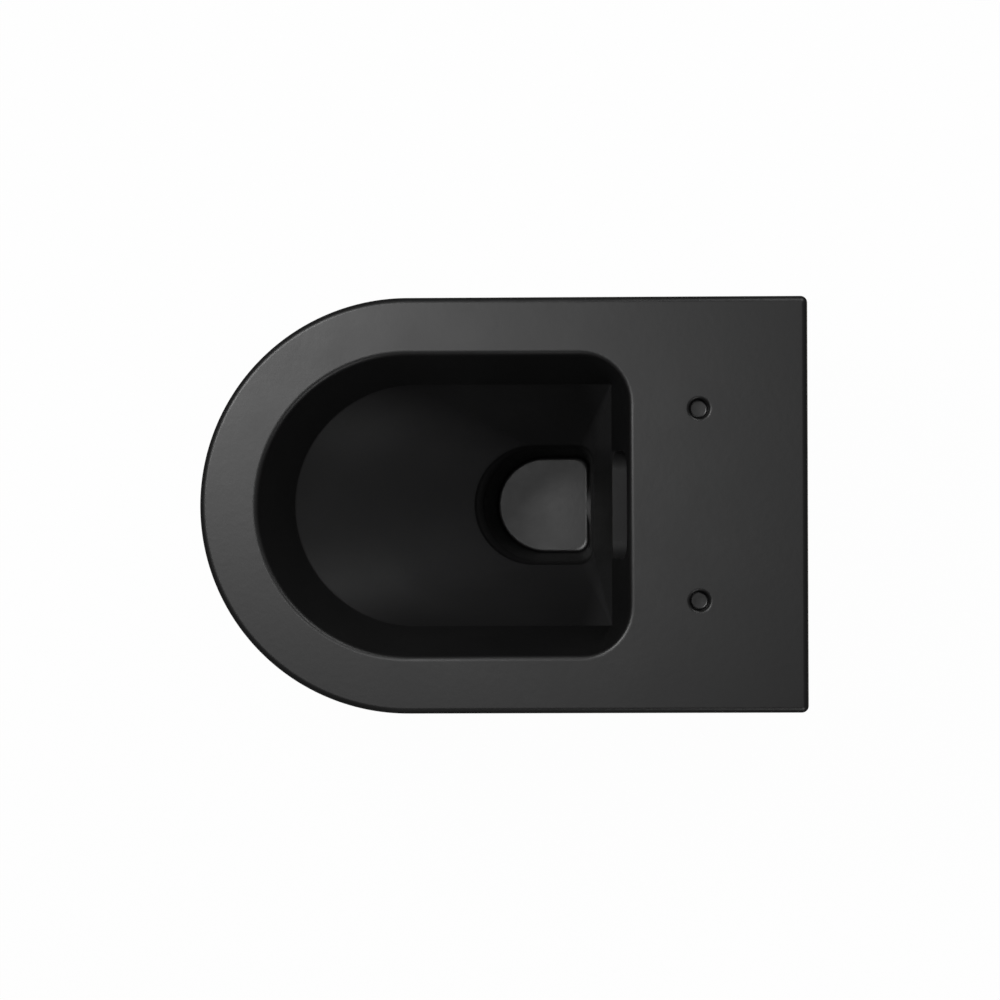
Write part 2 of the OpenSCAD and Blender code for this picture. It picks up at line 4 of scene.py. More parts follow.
import bmesh
import bpy
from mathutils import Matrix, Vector


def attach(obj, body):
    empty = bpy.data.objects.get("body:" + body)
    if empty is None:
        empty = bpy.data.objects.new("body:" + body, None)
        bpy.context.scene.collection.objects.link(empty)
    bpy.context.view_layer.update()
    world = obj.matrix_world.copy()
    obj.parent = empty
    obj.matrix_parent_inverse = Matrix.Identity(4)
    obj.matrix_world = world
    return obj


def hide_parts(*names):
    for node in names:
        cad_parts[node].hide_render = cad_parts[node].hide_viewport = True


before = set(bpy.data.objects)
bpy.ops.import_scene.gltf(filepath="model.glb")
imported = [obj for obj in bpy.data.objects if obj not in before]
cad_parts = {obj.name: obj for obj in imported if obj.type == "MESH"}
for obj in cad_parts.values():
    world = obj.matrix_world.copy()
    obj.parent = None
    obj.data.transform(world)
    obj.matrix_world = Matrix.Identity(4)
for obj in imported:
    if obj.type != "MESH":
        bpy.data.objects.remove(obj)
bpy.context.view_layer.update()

# Sizes in millimetres, as in the part's source but for the three rounded edges below them
PAN_DEPTH = 525
PAN_WIDTH = 360
FRONT_TAPER = 1
RIM_Z = 85
BASE_Z = -255
REAR_CORNER_R = 6
RIM_WIDTH = 49
DECK_DEPTH = 154
DECK_T = 12
MOUTH_CORNER_R = 43
MOUTH_EDGE_R = 4
CREASE_DEPTH = 70
CREASE_INSET_FRONT = 29
CREASE_INSET_SIDE = 24
CREASE_INSET_REAR = 13.5
CREASE_CORNER_R = 1.2
THROAT_WIDTH = 104
THROAT_LENGTH = 100
THROAT_FROM_WALL = 181
THROAT_CORNER_R = 14
BOWL_WALL = 12
SUMP_DEPTH = 118
SUMP_CLEARANCE = 9
SUMP_INSET_SIDE = 6
SUMP_INSET_FRONT = 12
SUMP_CORNER_STEP = 2
SUMP_FLOOR_R = 4
SUMP_FLOOR_T = 10
TRAP_WIDTH = 84
TRAP_ENTRY_H = 52
TRAP_WEIR_H = 66
TRAP_WALL = 10
OUTLET_DROP = 100
OUTLET_D = 102
OUTLET_BORE_D = 82
SOCKET_LENGTH = 45
INLET_RISE = 35
INLET_BORE_D = 55
INLET_WALL = 10
DUCT_BORE_D = 50
DUCT_WALL = 9
SLOT_WIDTH = 94
SLOT_HEIGHT = 46
SLOT_CORNER_R = 16
SLOT_FLOOR_RISE = 3
SLOT_FROM_WALL = 128
SLOT_LIP = 2
SLOT_STEP = 5
GASKET_T = 3
DISTRIBUTOR_LENGTH = 17
DISTRIBUTOR_WALL = 3
DISTRIBUTOR_GAP = 0.3
WEB_T = 12
WEB_INSET = 20
WEB_GAP = 6
SHROUD_WALL = 10
SHROUD_TUCK = 225
SHROUD_CURVE = 2.2
SHROUD_DRAW_IN = 35
FOOT_EDGE_R = 8
SEAT_HOLE_SPACING = 166
SEAT_HOLE_FROM_WALL = 94
SEAT_HOLE_D = 16.6
SEAT_HOLE_DEPTH = 15
SEAT_BOSS_D = 38
SEAT_BOSS_FLOOR_T = 8
SIDE_SCREW_FROM_WALL = 58
SIDE_HOLE_D = 18
CAP_RECESS_D = 26
CAP_RECESS_DEPTH = 10
SIDE_BOSS_D = 42
SIDE_BOSS_DEPTH = 16
SIDE_SCREW_D = 10
SIDE_SCREW_HEAD_D = 16
SIDE_SCREW_HEAD_H = 4.5
SIDE_SCREW_LENGTH = 38
BUSH_FLANGE_T = 2
CAP_T = 2.5
FIT_GAP = 0.2
INSERT_D = 16
INSERT_LENGTH = 22
THREAD_GAP = 0.05
STUD_SPACING = 180
STUD_HOLE_D = 13
BRACKET_PLATE_T = 8
BRACKET_PLATE_H = 60
BRACKET_ARM_H = 36
BRACKET_ARM_T = 30
BRACKET_RIB_T = 5
BRACKET_ARM_END = 20
BRACKET_PLATE_EDGE = 20
WASHER_GAP = 2
WASHER_D = 24
WASHER_T = 2.5
NUT_FLATS = 19
NUT_H = 10
NUT_BORE_D = 12.2

# Rounded edges as the photo shows them
RIM_EDGE_R = 5.4
SEAT_HOLE_EDGE_R = 2.9
SEAT_HOLE_FLOOR_R = 2.2

# Soft turns, threads and small edges of the finer meshes
THROAT_TURN = 9
CREASE_TURN = 1.2
HOLLOW_EDGE_R = 6
CAP_RECESS_EDGE_R = 1.5
SOCKET_EDGE_R = 2.5
WASHER_EDGE_R = 0.5
NUT_CHAMFER = 1.2
NUT_PITCH = 1.75
NUT_THREAD_DEPTH = 0.6
NUT_END_STEP = 0.2
INSERT_CHAMFER = 0.6
BUSH_EDGE_R = 0.5
SCREW_PITCH = 1.5
SCREW_THREAD_DEPTH = 0.5
SCREW_RUN_OUT = 1
SCREW_TIP_CHAMFER = 1.2
SCREW_HEAD_EDGE_R = 0.8
CAP_EDGE_R = 0.7
CAP_CROWN = 0.35
CAP_FOOT_CHAMFER = 0.3
SHARPEST_R = 0.5

# Fineness of the meshes, how far a tool reaches past what it cuts, and the radius that closes a turned end
FRONT_STEPS = 120
CORNER_STEPS = 10
SIDE_STEPS = 24
EDGE_STEPS = 8
TURN_STEPS = 96
SOCKET_STEPS = 128
PAST = 1
TIP_R = 0.01
MM = 0.001

# Levels and places that follow from the sizes
DECK_Z = RIM_Z - DECK_T
CREASE_Z = RIM_Z - CREASE_DEPTH
SUMP_Z = BASE_Z + SHROUD_WALL + SUMP_CLEARANCE + SUMP_FLOOR_T
THROAT_Z = SUMP_Z + SUMP_DEPTH
HALF_W = PAN_WIDTH / 2
SIDE_TAPER = FRONT_TAPER / 2
MOUTH_HALF_W = HALF_W - SIDE_TAPER - RIM_WIDTH
MOUTH_FRONT = RIM_WIDTH - PAN_DEPTH
CREASE_HALF_W = MOUTH_HALF_W - CREASE_INSET_SIDE
CREASE_FRONT = MOUTH_FRONT + CREASE_INSET_FRONT
CREASE_REAR = -DECK_DEPTH - CREASE_INSET_REAR
THROAT_HALF_W = THROAT_WIDTH / 2
THROAT_REAR = -THROAT_FROM_WALL
THROAT_FRONT = THROAT_REAR - THROAT_LENGTH
SUMP_HALF_W = THROAT_HALF_W - SUMP_INSET_SIDE
SUMP_FRONT = THROAT_FRONT + SUMP_INSET_FRONT
SUMP_BACK = THROAT_REAR + BOWL_WALL
SLOT_Z = CREASE_Z + SLOT_FLOOR_RISE + SLOT_HEIGHT / 2
DUCT_FRONT = -SLOT_FROM_WALL
GASKET_FRONT = DUCT_FRONT - GASKET_T
DUCT_OUTER_D = DUCT_BORE_D + 2 * DUCT_WALL
INLET_OUTER_D = INLET_BORE_D + 2 * INLET_WALL
BAND_TOP_REAR = -DECK_DEPTH - CREASE_INSET_REAR * DECK_T / CREASE_DEPTH
TRAP_ENTRY_Z = SUMP_Z + TRAP_ENTRY_H / 2
TRAP_WEIR_Z = -OUTLET_DROP + (OUTLET_BORE_D - TRAP_WEIR_H) / 2
TRAP_RISE = TRAP_WEIR_Z - TRAP_ENTRY_Z
ENTRY_BEND_R = TRAP_RISE * (TRAP_ENTRY_H + 2 * TRAP_WALL) / (TRAP_ENTRY_H + TRAP_WEIR_H + 4 * TRAP_WALL)
WEIR_BEND_R = TRAP_RISE - ENTRY_BEND_R


def mix(a, b, t):
    return a + (b - a) * t


def mix_loops(a, b, t):
    return [(mix(p[0], q[0], t), mix(p[1], q[1], t)) for p, q in zip(a, b)]


def arc(cx, cy, r, start, end, steps):
    angles = [math.radians(mix(start, end, i / steps)) for i in range(steps + 1)]
    return [(cx + r * math.cos(a), cy + r * math.sin(a)) for a in angles]


def with_sides(arcs, steps):
    """The arcs joined by straight runs of evenly spaced points."""
    points = []
    for i, piece in enumerate(arcs):
        points += piece
        start, end = piece[-1], arcs[(i + 1) % len(arcs)][0]
        for k in range(1, steps):
            points.append((mix(start[0], end[0], k / steps), mix(start[1], end[1], k / steps)))
    return points


def d_outline(half_width, front, rear, corner_r, taper=0):
    """A D seen from above: two rounded corners at the rear and a half circle in front."""
    front_r = half_width - taper
    return with_sides([
        arc(half_width - corner_r, rear - corner_r, corner_r, 0, 90, CORNER_STEPS),
        arc(corner_r - half_width, rear - corner_r, corner_r, 90, 180, CORNER_STEPS),
        arc(0, front + front_r, front_r, 180, 360, FRONT_STEPS),
    ], SIDE_STEPS)


def at_z(outline, z):
    return [(x, y, z) for x, y in outline]


def mouth_outline(g):
    return d_outline(MOUTH_HALF_W + g, MOUTH_FRONT - g, -DECK_DEPTH + g, MOUTH_CORNER_R + g)


def crease_outline(g):
    return d_outline(CREASE_HALF_W + g, CREASE_FRONT - g, CREASE_REAR + g, CREASE_CORNER_R + g)


def throat_outline(g):
    return d_outline(THROAT_HALF_W + g, THROAT_FRONT - g, THROAT_REAR + g, THROAT_CORNER_R)


def sump_outline(g):
    corner_r = THROAT_CORNER_R - SUMP_CORNER_STEP
    return d_outline(SUMP_HALF_W + g, SUMP_FRONT - g, THROAT_REAR + min(g, 0), corner_r)


def sump_wall(z):
    """The sump's wall, carried on above the throat by its own slope."""
    t = (z - SUMP_Z - SUMP_FLOOR_R) / (SUMP_DEPTH - SUMP_FLOOR_R)
    return mix_loops(sump_outline(0), throat_outline(0), t)


def funnel_wall(z, g=0):
    return mix_loops(throat_outline(g), crease_outline(g), (z - THROAT_Z) / (CREASE_Z - THROAT_Z))


def band_wall(z, g=0):
    return mix_loops(crease_outline(g), mouth_outline(g), (z - CREASE_Z) / CREASE_DEPTH)


def bowl_outline(z, g):
    """The bowl's section at a height: a steep band above the crease and a funnel below it."""
    return band_wall(z, g) if z > CREASE_Z else funnel_wall(z, g)


def turned_between(start, corner, end, t):
    """A loop on the curve from start to end that is tangent to both sides of the corner."""
    loop = []
    for p, q, r in zip(start, corner, end):
        loop.append(tuple(mix(mix(a, b, t), mix(b, c, t), t) for a, b, c in zip(p, q, r)))
    return loop


def shroud_share(z):
    return max((DECK_Z - z) / (DECK_Z - BASE_Z), 0)


def shroud_half_w(z):
    return HALF_W - SHROUD_DRAW_IN * shroud_share(z) ** 2


def shroud_front(z):
    return -PAN_DEPTH + SHROUD_TUCK * shroud_share(z) ** SHROUD_CURVE


def outside_outline(z, g):
    """An outline of the outside at a height, set in by g on every side."""
    corner_r = max(REAR_CORNER_R - g, SHARPEST_R)
    return d_outline(shroud_half_w(z) - g, shroud_front(z) + g, -g, corner_r, SIDE_TAPER)


def foot_outline(z, g):
    """The foot's edge keeps its rear flat against the wall."""
    return d_outline(shroud_half_w(z) - g, shroud_front(z) + g, 0, REAR_CORNER_R, SIDE_TAPER)


def hollow_outline(z, g):
    """The hollow of the shroud, which runs out through the wall side."""
    inset = SHROUD_WALL + g
    return d_outline(shroud_half_w(z) - inset, shroud_front(z) + inset, PAST, SHARPEST_R, SIDE_TAPER)


def new_object(name, points, faces):
    mesh = bpy.data.meshes.new(name)
    mesh.from_pydata([Vector(p) * MM for p in points], [], faces)
    mesh.validate()
    bm = bmesh.new()
    bm.from_mesh(mesh)
    bmesh.ops.recalc_face_normals(bm, faces=bm.faces)
    bm.to_mesh(mesh)
    bm.free()
    obj = bpy.data.objects.new(name, mesh)
    bpy.context.scene.collection.objects.link(obj)
    return obj


def loft(name, loops, ring=False):
    """A mesh through loops of equal length: capped at both ends, or joined into a ring."""
    n = len(loops[0])
    count = len(loops)
    last = count if ring else count - 1
    faces = []
    for i in range(last):
        a, b = i * n, (i + 1) % count * n
        faces += [(a + j, b + j, b + (j + 1) % n, a + (j + 1) % n) for j in range(n)]
    if not ring:
        faces += [tuple(range(n)), tuple(reversed(range((count - 1) * n, count * n)))]
    return new_object(name, [p for loop in loops for p in loop], faces)


def combine(target, tool, operation):
    """Joins tool to target, cuts it away or keeps what both share, and removes tool."""
    modifier = target.modifiers.new("combine", "BOOLEAN")
    modifier.operation = operation
    modifier.solver = "MANIFOLD"
    modifier.object = tool
    graph = bpy.context.evaluated_depsgraph_get()
    mesh = bpy.data.meshes.new_from_object(target.evaluated_get(graph))
    target.modifiers.clear()
    target.data = mesh
    bpy.data.objects.remove(tool)
    return target


def join(target, tool):
    return combine(target, tool, "UNION")


def cut(target, tool):
    return combine(target, tool, "DIFFERENCE")


def place(points, axis, x, y, z):
    """Points drawn about +Z, turned so that Z runs along an axis, then moved."""
    turned = {
        "z": lambda p: (p[0], p[1], p[2]),
        "x": lambda p: (p[2], p[1], -p[0]),
        "-x": lambda p: (-p[2], p[1], p[0]),
        "-y": lambda p: (p[0], -p[2], p[1]),
    }[axis]
    return [(x + q[0], y + q[1], z + q[2]) for q in map(turned, points)]


def lathe(name, profile, axis="z", at=(0, 0, 0), steps=TURN_STEPS, ring=False):
    """A profile of (radius, height) pairs turned about an axis, closed at the ends or along the bore."""
    loops = []
    for r, h in profile:
        angles = [2 * math.pi * k / steps for k in range(steps)]
        loops.append(place([(r * math.cos(a), r * math.sin(a), h) for a in angles], axis, *at))
    return loft(name, loops, ring)


def prism(name, outline, height, axis="z", at=(0, 0, 0)):
    low = place([(x, y, 0) for x, y in outline], axis, *at)
    high = place([(x, y, height) for x, y in outline], axis, *at)
    return loft(name, [low, high])


def rounded_rect(w, h, r, steps=CORNER_STEPS):
    corners = [(1, 1, 0), (-1, 1, 90), (-1, -1, 180), (1, -1, 270)]
    return [p for sx, sy, a in corners for p in arc(sx * (w / 2 - r), sy * (h / 2 - r), r, a, a + 90, steps)]


def hexagon(corner_r):
    angles = [math.radians(60 * k) for k in range(6)]
    return [(corner_r * math.cos(a), corner_r * math.sin(a)) for a in angles]


def finish_mesh(obj, bevel=0.0, angle=32, segments=3):
    """Softens hard edges where asked, and shades the rest smooth."""
    if bevel:
        modifier = obj.modifiers.new("edges", "BEVEL")
        modifier.width = bevel * MM
        modifier.segments = segments
        modifier.limit_method = "ANGLE"
        modifier.angle_limit = math.radians(angle)
        modifier.harden_normals = False
    mesh = obj.data
    mesh.polygons.foreach_set("use_smooth", [True] * len(mesh.polygons))
    if not bevel:
        mesh.set_sharp_from_angle(angle=math.radians(angle))
    normals = obj.modifiers.new("normals", "WEIGHTED_NORMAL")
    normals.keep_sharp = True
    normals.weight = 80
    return obj


def foot_loops(outline, floor_z, r):
    """Loops of a rounded foot, from its flat bottom up to just under its full width."""
    loops = []
    for i in range(EDGE_STEPS, 0, -1):
        a = math.radians(90 * i / EDGE_STEPS)
        z = floor_z + r * (1 - math.sin(a))
        loops.append(at_z(outline(z, r * (1 - math.cos(a))), z))
    return loops


def wall_loops(outline, low_z, high_z, steps):
    levels = [mix(low_z, high_z, i / steps) for i in range(steps + 1)]
    return [at_z(outline(z, 0), z) for z in levels]


def body_outside():
    """The outside of rim, deck and shroud as one solid."""
    loops = foot_loops(foot_outline, BASE_Z, FOOT_EDGE_R)
    loops += wall_loops(outside_outline, BASE_Z + FOOT_EDGE_R, DECK_Z, 48)
    for i in range(EDGE_STEPS + 1):
        a = math.radians(90 * i / EDGE_STEPS)
        g = RIM_EDGE_R * (1 - math.cos(a))
        loops.append(at_z(outside_outline(DECK_Z, g), RIM_Z - RIM_EDGE_R * (1 - math.sin(a))))
    return loft("pan_body", loops)


def body_hollow():
    floor_z = BASE_Z + SHROUD_WALL
    loops = foot_loops(hollow_outline, floor_z, HOLLOW_EDGE_R)
    loops += wall_loops(hollow_outline, floor_z + HOLLOW_EDGE_R, DECK_Z, 24)
    return loft("hollow", loops)


def bowl_outside():
    """The bowl and the sump from outside, up into the deck."""
    foot = d_outline(SUMP_HALF_W + BOWL_WALL, SUMP_FRONT - BOWL_WALL, SUMP_BACK, THROAT_CORNER_R)
    steps = 12
    levels = [mix(THROAT_Z, CREASE_Z, i / steps) for i in range(steps + 1)] + [DECK_Z + DECK_T / 2]
    loops = [at_z(foot, SUMP_Z - SUMP_FLOOR_T)]
    loops += [at_z(bowl_outline(z, BOWL_WALL), z) for z in levels]
    return loft("bowl_outside", loops)


def bowl_inside():
    """What the bowl encloses: sump, throat, funnel, crease, band and rounded mouth."""
    loops = []
    floor_steps = 10
    for i in range(floor_steps, -1, -1):
        a = math.radians(90 * i / floor_steps)
        g = -SUMP_FLOOR_R * (1 - math.cos(a))
        loops.append(at_z(sump_outline(g), SUMP_Z + SUMP_FLOOR_R * (1 - math.sin(a))))
    lip_z = RIM_Z - MOUTH_EDGE_R
    loops += climb(SUMP_Z + SUMP_FLOOR_R, THROAT_Z - THROAT_TURN, 8, sump_wall)
    loops += turn(THROAT_Z, THROAT_TURN, 12, sump_wall, funnel_wall)
    loops += climb(THROAT_Z + THROAT_TURN, CREASE_Z - CREASE_TURN, 36, funnel_wall)
    loops += turn(CREASE_Z, CREASE_TURN, 5, funnel_wall, band_wall)
    loops += climb(CREASE_Z + CREASE_TURN, lip_z, 14, band_wall)[:-1]
    low = at_z(band_wall(lip_z), lip_z)
    corner = at_z(band_wall(RIM_Z), RIM_Z)
    flat_outline = band_wall(RIM_Z, MOUTH_EDGE_R)
    flat = at_z(flat_outline, RIM_Z)
    loops += [turned_between(low, corner, flat, i / EDGE_STEPS) for i in range(EDGE_STEPS + 1)]
    loops.append(at_z(flat_outline, RIM_Z + PAST))
    return loft("bowl_inside", loops)


def climb(low_z, high_z, steps, wall):
    """Loops up a wall, without the one at its foot."""
    levels = [mix(low_z, high_z, i / steps) for i in range(1, steps + 1)]
    return [at_z(wall(z), z) for z in levels]


def turn(turn_z, reach, steps, below, above):
    """Loops of a round turn between two straight walls that meet at turn_z, without the first."""
    start = below(turn_z - reach)
    middle = below(turn_z)
    end = above(turn_z + reach)
    loops = []
    for i in range(1, steps + 1):
        t = i / steps
        first = mix_loops(start, middle, t)
        second = mix_loops(middle, end, t)
        loops.append(at_z(mix_loops(first, second, t), mix(turn_z - reach, turn_z + reach, t)))
    return loops


# Places of the side fixings, worked out from the skirt's width at the studs
CAP_RECESS_X = shroud_half_w(0) - CAP_RECESS_DEPTH
SIDE_BOSS_X = CAP_RECESS_X - SIDE_BOSS_DEPTH
FLANGE_X = CAP_RECESS_X + BUSH_FLANGE_T
STUD_X = STUD_SPACING / 2
ARM_X = SIDE_BOSS_X - BRACKET_ARM_T
GUSSET = ARM_X - STUD_X - WASHER_D / 2 - WASHER_GAP


def sided(side, outline):
    """An outline drawn for the right, or its mirror image for the left."""
    return outline if side > 0 else [(-x, y) for x, y in reversed(outline)]


def side_axis(side):
    return "x" if side > 0 else "-x"


def at_side_screw(side, x):
    return (side * x, -SIDE_SCREW_FROM_WALL, 0)


def seat_hole_tool(side):
    r = SEAT_HOLE_D / 2
    floor_r = SEAT_HOLE_FLOOR_R
    profile = [(TIP_R, -SEAT_HOLE_DEPTH)]
    profile += arc(r - floor_r, floor_r - SEAT_HOLE_DEPTH, floor_r, -90, 0, EDGE_STEPS)
    profile += arc(r + SEAT_HOLE_EDGE_R, -SEAT_HOLE_EDGE_R, SEAT_HOLE_EDGE_R, 180, 90, EDGE_STEPS)
    profile += [(r + SEAT_HOLE_EDGE_R, PAST), (TIP_R, PAST)]
    return lathe("seat_hole", profile, at=(side * SEAT_HOLE_SPACING / 2, -SEAT_HOLE_FROM_WALL, RIM_Z))


def add_bosses(body, side):
    """The boss under a seat hole and the one behind a side screw."""
    top = DECK_Z + DECK_T / 2
    bottom = RIM_Z - SEAT_HOLE_DEPTH - SEAT_BOSS_FLOOR_T
    at = (side * SEAT_HOLE_SPACING / 2, -SEAT_HOLE_FROM_WALL, bottom)
    join(body, lathe("seat_boss", [(SEAT_BOSS_D / 2, 0), (SEAT_BOSS_D / 2, top - bottom)], at=at))
    profile = [(SIDE_BOSS_D / 2, 0), (SIDE_BOSS_D / 2, SIDE_BOSS_DEPTH + SHROUD_WALL / 2)]
    join(body, lathe("side_boss", profile, side_axis(side), at_side_screw(side, SIDE_BOSS_X)))


def cut_side_openings(body, side):
    """The hole for a side screw and the recess for its cap."""
    profile = [(SIDE_HOLE_D / 2, 0), (SIDE_HOLE_D / 2, SIDE_BOSS_DEPTH + 2 * PAST)]
    cut(body, lathe("side_hole", profile, side_axis(side), at_side_screw(side, SIDE_BOSS_X - PAST)))
    r = CAP_RECESS_D / 2
    edge = CAP_RECESS_EDGE_R
    profile = [(r, 0), (r, CAP_RECESS_DEPTH - edge)]
    profile += arc(r + edge, CAP_RECESS_DEPTH - edge, edge, 180, 90, EDGE_STEPS)
    profile += [(r + edge, CAP_RECESS_DEPTH + PAST + edge)]
    cut(body, lathe("cap_recess", profile, side_axis(side), at_side_screw(side, CAP_RECESS_X)))


def make_body():
    """The glazed body: rim, deck, bowl, sump and shroud fired as one piece."""
    body = body_outside()
    cut(body, body_hollow())
    join(body, bowl_outside())
    collar_length = DUCT_FRONT - CREASE_REAR + BOWL_WALL / 2
    collar = rounded_rect(SLOT_WIDTH + 2 * DUCT_WALL, SLOT_HEIGHT + 2 * DUCT_WALL, SLOT_CORNER_R + DUCT_WALL)
    join(body, prism("collar", collar, collar_length, "-y", (0, DUCT_FRONT, SLOT_Z)))
    for side in (-1, 1):
        add_bosses(body, side)
    cut(body, bowl_inside())
    cut(body, loft("outlet", outlet_loops()))
    entry = [passage_loop(y, TRAP_ENTRY_Z, 0, TRAP_WIDTH / 2, TRAP_ENTRY_H / 2)
             for y in (SUMP_BACK + PAST, THROAT_REAR - 2 * SUMP_FLOOR_R)]
    cut(body, loft("entry", entry))
    for side in (-1, 1):
        cut(body, seat_hole_tool(side))
        cut_side_openings(body, side)
    return body


def outlet_loops():
    """The flush outlet's way from the duct's front end, with a ceiling that curves up to the deck."""
    to_deck = DECK_Z - SLOT_Z - SLOT_HEIGHT / 2
    ceiling_start = GASKET_FRONT - DISTRIBUTOR_LENGTH - SLOT_LIP
    places = [(DUCT_FRONT + PAST, 0)]
    steps = 12
    for i in range(steps + 1):
        t = i / steps
        places.append((mix(ceiling_start, BAND_TOP_REAR, t), to_deck * t ** 2))
    places.append((CREASE_REAR - PAST, to_deck))
    loops = []
    for y, raised in places:
        outline = rounded_rect(SLOT_WIDTH, SLOT_HEIGHT + raised, SLOT_CORNER_R, 2 * CORNER_STEPS)
        loops.append([(x, y, SLOT_Z + raised / 2 + z) for x, z in outline])
    return loops


def passage_loop(y, z, rise, half_width, half_height, steps=TURN_STEPS):
    """An oval loop across the trap, turned by the path's rise."""
    lean = math.radians(rise)
    loop = []
    for i in range(steps):
        a = 2 * math.pi * i / steps
        u, v = half_width * math.cos(a), half_height * math.sin(a)
        loop.append((u, y - v * math.sin(lean), z + v * math.cos(lean)))
    return loop


def trap_loops(g):
    """Loops along the trap, from the sump over the weir to the outlet, grown by g."""
    turn_z = TRAP_ENTRY_Z + ENTRY_BEND_R
    weir_y = SUMP_BACK + ENTRY_BEND_R + WEIR_BEND_R
    steps = 48
    loops = []
    for i in range(steps + 1):
        t = i / steps
        rise = 90 * (1 - abs(1 - 2 * t))
        lean = math.radians(rise)
        if t <= 0.5:
            y = SUMP_BACK + ENTRY_BEND_R * math.sin(lean)
            z = turn_z - ENTRY_BEND_R * math.cos(lean)
        else:
            y = weir_y - WEIR_BEND_R * math.sin(lean)
            z = turn_z + WEIR_BEND_R * math.cos(lean)
        half_w = mix(TRAP_WIDTH, OUTLET_BORE_D, t) / 2 + g
        half_h = mix(TRAP_ENTRY_H, TRAP_WEIR_H, t) / 2 + g
        loops.append(passage_loop(y, z, rise, half_w, half_h))
    end_r = OUTLET_BORE_D / 2 + g
    loops.append(passage_loop(-SOCKET_LENGTH, -OUTLET_DROP, 0, end_r, end_r))
    return loops


def duct_loops(g, d):
    """Loops along the flush duct, from the flat outlet grown by g to a round end of diameter d."""
    corner_steps = 18
    front = rounded_rect(SLOT_WIDTH + 2 * g, SLOT_HEIGHT + 2 * g, SLOT_CORNER_R + g, corner_steps)
    back = rounded_rect(d, d, d / 2, corner_steps)
    steps = 24
    loops = []
    for i in range(steps + 1):
        t = i / steps
        ease = (1 - math.cos(math.pi * t)) / 2
        y = mix(DUCT_FRONT, -SOCKET_LENGTH, t)
        z = mix(SLOT_Z, INLET_RISE, ease)
        loops.append([(p[0], y, z + p[1]) for p in mix_loops(front, back, ease)])
    return loops


def make_socket(name, z, outer_d, inner_d):
    """A tube along the wall's normal, with rounded rims at the wall."""
    outer, inner, edge = outer_d / 2, inner_d / 2, SOCKET_EDGE_R
    profile = [(inner, SOCKET_LENGTH), (outer, SOCKET_LENGTH)]
    profile += arc(outer - edge, edge, edge, 0, -90, EDGE_STEPS)
    profile += arc(inner + edge, edge, edge, -90, -180, EDGE_STEPS)
    return lathe(name, profile, "-y", (0, 0, z), SOCKET_STEPS, True)


def make_web():
    front = DUCT_FRONT + WEB_INSET
    rear = -SOCKET_LENGTH - WEB_GAP
    outline = [(-WEB_T / 2, front), (WEB_T / 2, front), (WEB_T / 2, rear), (-WEB_T / 2, rear)]
    web = prism("stiffening_web", outline, OUTLET_DROP + INLET_RISE, "z", (0, 0, -OUTLET_DROP))
    cut(web, loft("duct_tool", duct_loops(DUCT_WALL, DUCT_OUTER_D)))
    return cut(web, loft("trap_tool", trap_loops(TRAP_WALL)))


def make_distributor():
    """A frame with two windows and a wedge between them that parts the flush."""
    w = SLOT_WIDTH - 2 * DISTRIBUTOR_GAP
    h = SLOT_HEIGHT - 2 * DISTRIBUTOR_GAP
    window_w = w / 2 - 2.5 * DISTRIBUTOR_WALL
    window_h = h - 2 * DISTRIBUTOR_WALL
    outline = rounded_rect(w, h, SLOT_CORNER_R - DISTRIBUTOR_GAP)
    piece = prism("flush_distributor", outline, DISTRIBUTOR_LENGTH, "-y", (0, GASKET_FRONT, SLOT_Z))
    for side in (-1, 1):
        window = rounded_rect(window_w, window_h, SLOT_CORNER_R / 2)
        at = (side * (w / 2 - DISTRIBUTOR_WALL - window_w / 2), GASKET_FRONT + PAST, SLOT_Z)
        cut(piece, prism("window", window, DISTRIBUTOR_LENGTH + 2 * PAST, "-y", at))
    rear, front = DISTRIBUTOR_WALL, w / 6
    wedge = [(-rear, 0), (-front, -DISTRIBUTOR_LENGTH), (front, -DISTRIBUTOR_LENGTH), (rear, 0)]
    wedge = [(x, GASKET_FRONT + y) for x, y in wedge]
    height = window_h + 2 * PAST
    return join(piece, prism("wedge", wedge, height, "z", (0, 0, SLOT_Z - height / 2)))


def make_gasket():
    w = SLOT_WIDTH - 2 * DISTRIBUTOR_GAP
    h = SLOT_HEIGHT - 2 * DISTRIBUTOR_GAP
    outline = rounded_rect(w, h, SLOT_CORNER_R - DISTRIBUTOR_GAP)
    piece = prism("flush_gasket", outline, GASKET_T, "-y", (0, DUCT_FRONT, SLOT_Z))
    window = rounded_rect(SLOT_WIDTH - 2 * SLOT_STEP, SLOT_HEIGHT - 2 * SLOT_STEP, SLOT_CORNER_R / 2)
    return cut(piece, prism("window", window, GASKET_T + 2 * PAST, "-y", (0, DUCT_FRONT + PAST, SLOT_Z)))


def box_outline(x0, x1, y0, y1):
    return [(x0, y0), (x1, y0), (x1, y1), (x0, y1)]


